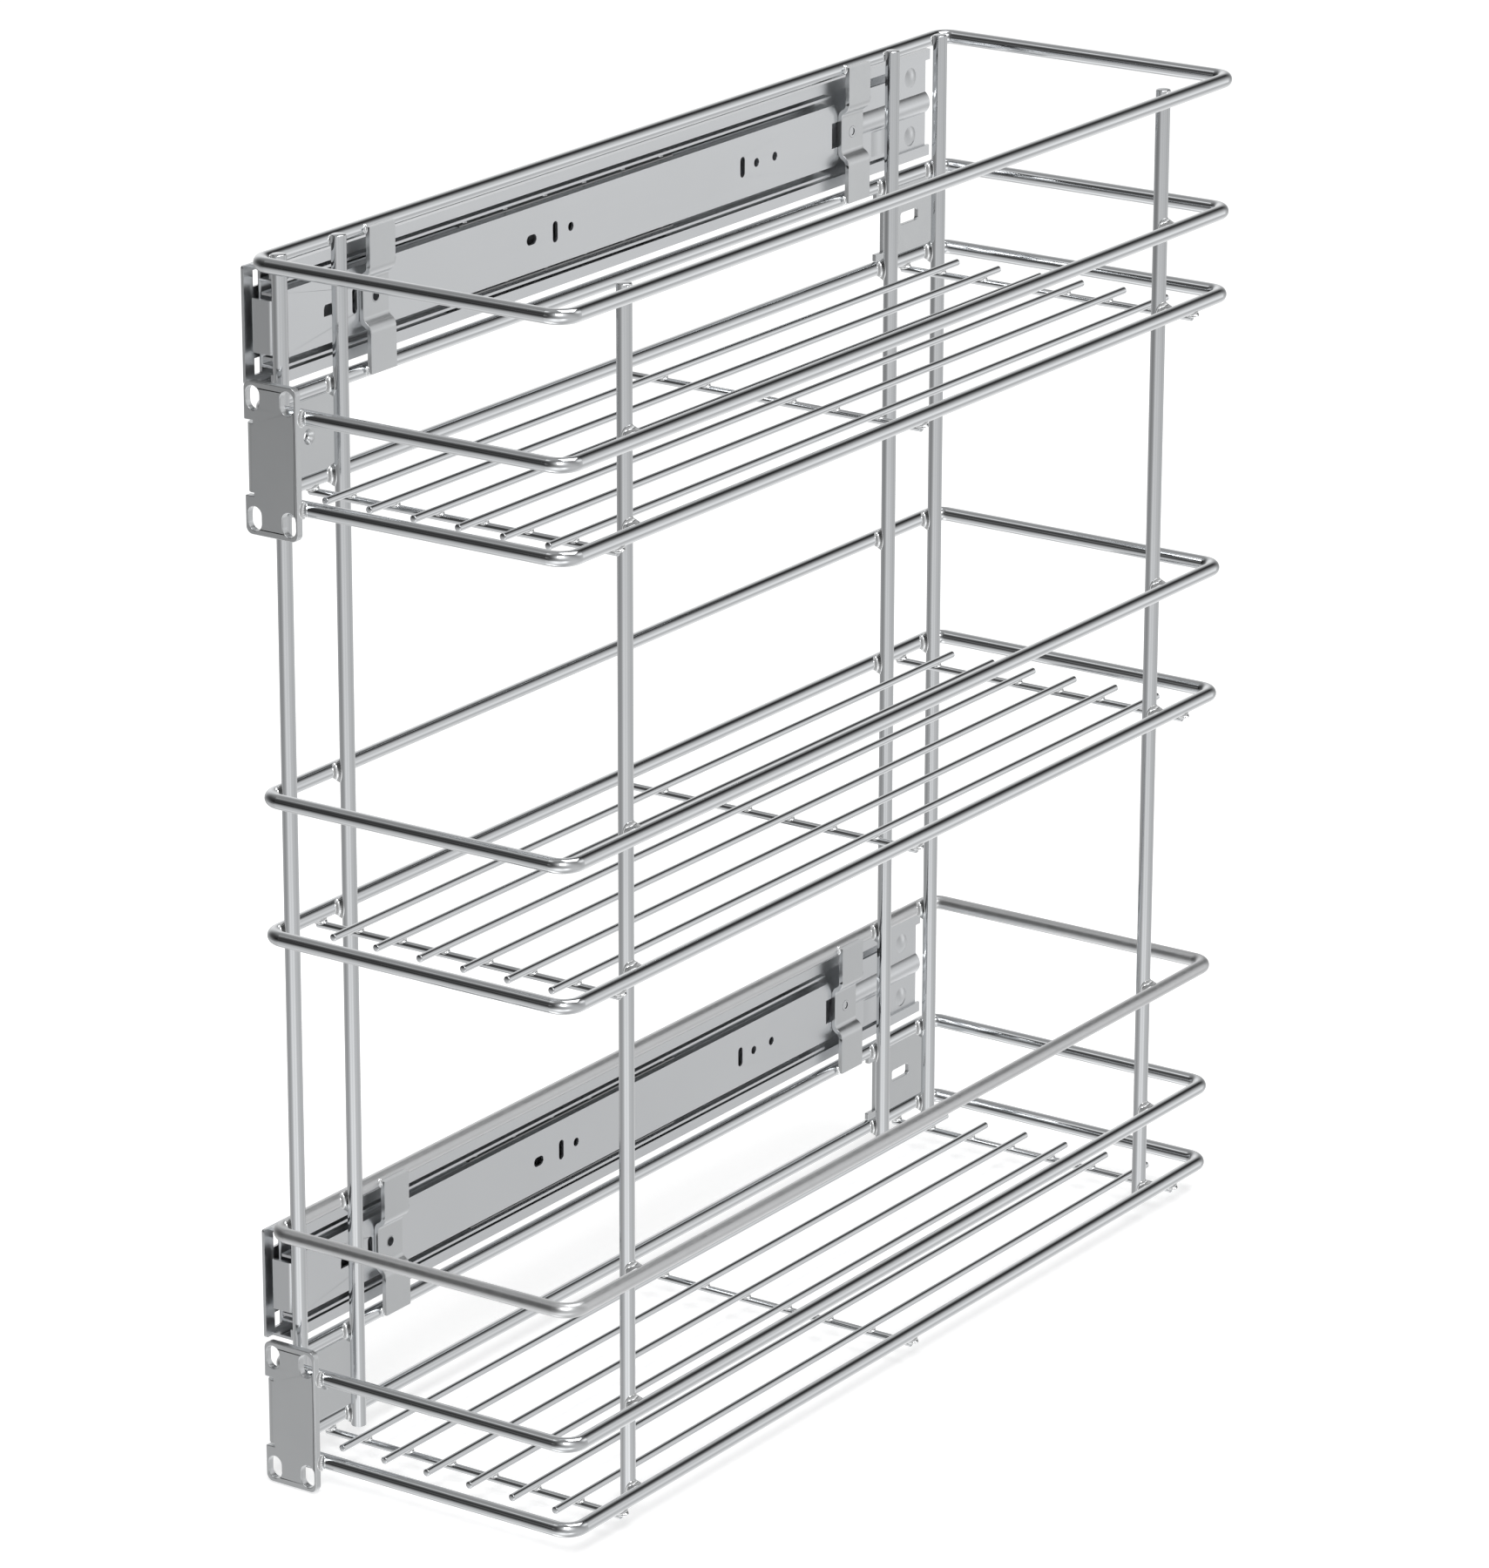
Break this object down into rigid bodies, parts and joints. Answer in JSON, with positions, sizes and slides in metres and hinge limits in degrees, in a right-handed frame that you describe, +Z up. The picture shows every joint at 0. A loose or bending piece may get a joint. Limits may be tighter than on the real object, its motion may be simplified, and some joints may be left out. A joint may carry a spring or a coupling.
{
  "type": "pull out larder unit",
  "caption": "Narrow pull out larder unit: tall chrome wire basket with tiered floors, running on side mounted ball bearing slides, with slotted door brackets.",
  "frame": {"origin": "on the cabinet side panel's face, in the middle of the four screw holes of the two outer rails", "axes": "+Z up, -Y towards the cabinet's front, which is the way the basket runs out, +X away from the side panel that carries the slides"},
  "size_m": [0.1577, 0.479, 0.493],
  "materials": {
    "ring_wire": "bright chromed steel wire",
    "post_wire": "bright chromed steel wire",
    "floor_wire": "bright chromed steel wire",
    "bracket_sheet": "satin plated steel sheet",
    "clip_sheet": "satin plated steel sheet",
    "rivet_steel": "plated steel",
    "rail_sheet": "bright zinc plated steel sheet",
    "cage_sheet": "plain steel strip, lightly greased",
    "ball_steel": "polished hardened steel"
  },
  "bodies": {
    "cabinet_rails": {"upper_outer_rail": "rail_sheet", "lower_outer_rail": "rail_sheet", "upper_rear_stop": "rail_sheet", "lower_rear_stop": "rail_sheet"},
    "basket": {"upper_guard_ring": "ring_wire", "upper_mid_ring": "ring_wire", "upper_base_ring": "ring_wire", "middle_guard_ring": "ring_wire", "middle_base_ring": "ring_wire", "lower_guard_ring": "ring_wire", "lower_mid_ring": "ring_wire", "lower_base_ring": "ring_wire", "front_left_post": "post_wire", "second_left_post": "post_wire", "third_left_post": "post_wire", "rear_left_post": "post_wire", "front_right_post": "post_wire", "rear_right_post": "post_wire", "upper_cross_wires": "floor_wire", "middle_cross_wires": "floor_wire", "lower_cross_wires": "floor_wire", "upper_long_wires": "floor_wire", "middle_long_wires": "floor_wire", "lower_long_wires": "floor_wire", "upper_door_bracket": "bracket_sheet", "lower_door_bracket": "bracket_sheet", "upper_rear_bracket": "bracket_sheet", "lower_rear_bracket": "bracket_sheet", "upper_front_clip": "clip_sheet", "upper_rear_clip": "clip_sheet", "lower_front_clip": "clip_sheet", "lower_rear_clip": "clip_sheet", "upper_front_rivet": "rivet_steel", "upper_rear_rivet": "rivet_steel", "lower_front_rivet": "rivet_steel", "lower_rear_rivet": "rivet_steel", "upper_inner_rail": "rail_sheet", "lower_inner_rail": "rail_sheet"},
    "middle_rails": {"upper_middle_rail": "rail_sheet", "lower_middle_rail": "rail_sheet"},
    "outer_cages": {"upper_outer_cage": "cage_sheet", "lower_outer_cage": "cage_sheet", "upper_outer_balls": "ball_steel", "lower_outer_balls": "ball_steel"},
    "inner_cages": {"upper_inner_cage": "cage_sheet", "lower_inner_cage": "cage_sheet", "upper_inner_balls": "ball_steel", "lower_inner_balls": "ball_steel"}
  },
  "joints": [
    {"name": "pull_out", "type": "slide", "parent": "cabinet_rails", "child": "basket", "axis": [0, -1, 0], "range_m": [0, 0.45]},
    {"name": "middle_run", "type": "slide", "parent": "cabinet_rails", "child": "middle_rails", "axis": [0, -1, 0], "range_m": [0, 0.225]},
    {"name": "outer_cage_run", "type": "slide", "parent": "cabinet_rails", "child": "outer_cages", "axis": [0, -1, 0], "range_m": [0, 0.1125]},
    {"name": "inner_cage_run", "type": "slide", "parent": "cabinet_rails", "child": "inner_cages", "axis": [0, -1, 0], "range_m": [0, 0.3375]}
  ],
  "couplings": [
    {"joint": "middle_run", "follows": "pull_out", "ratio": 0.5},
    {"joint": "outer_cage_run", "follows": "pull_out", "ratio": 0.25},
    {"joint": "inner_cage_run", "follows": "pull_out", "ratio": 0.75}
  ]
}
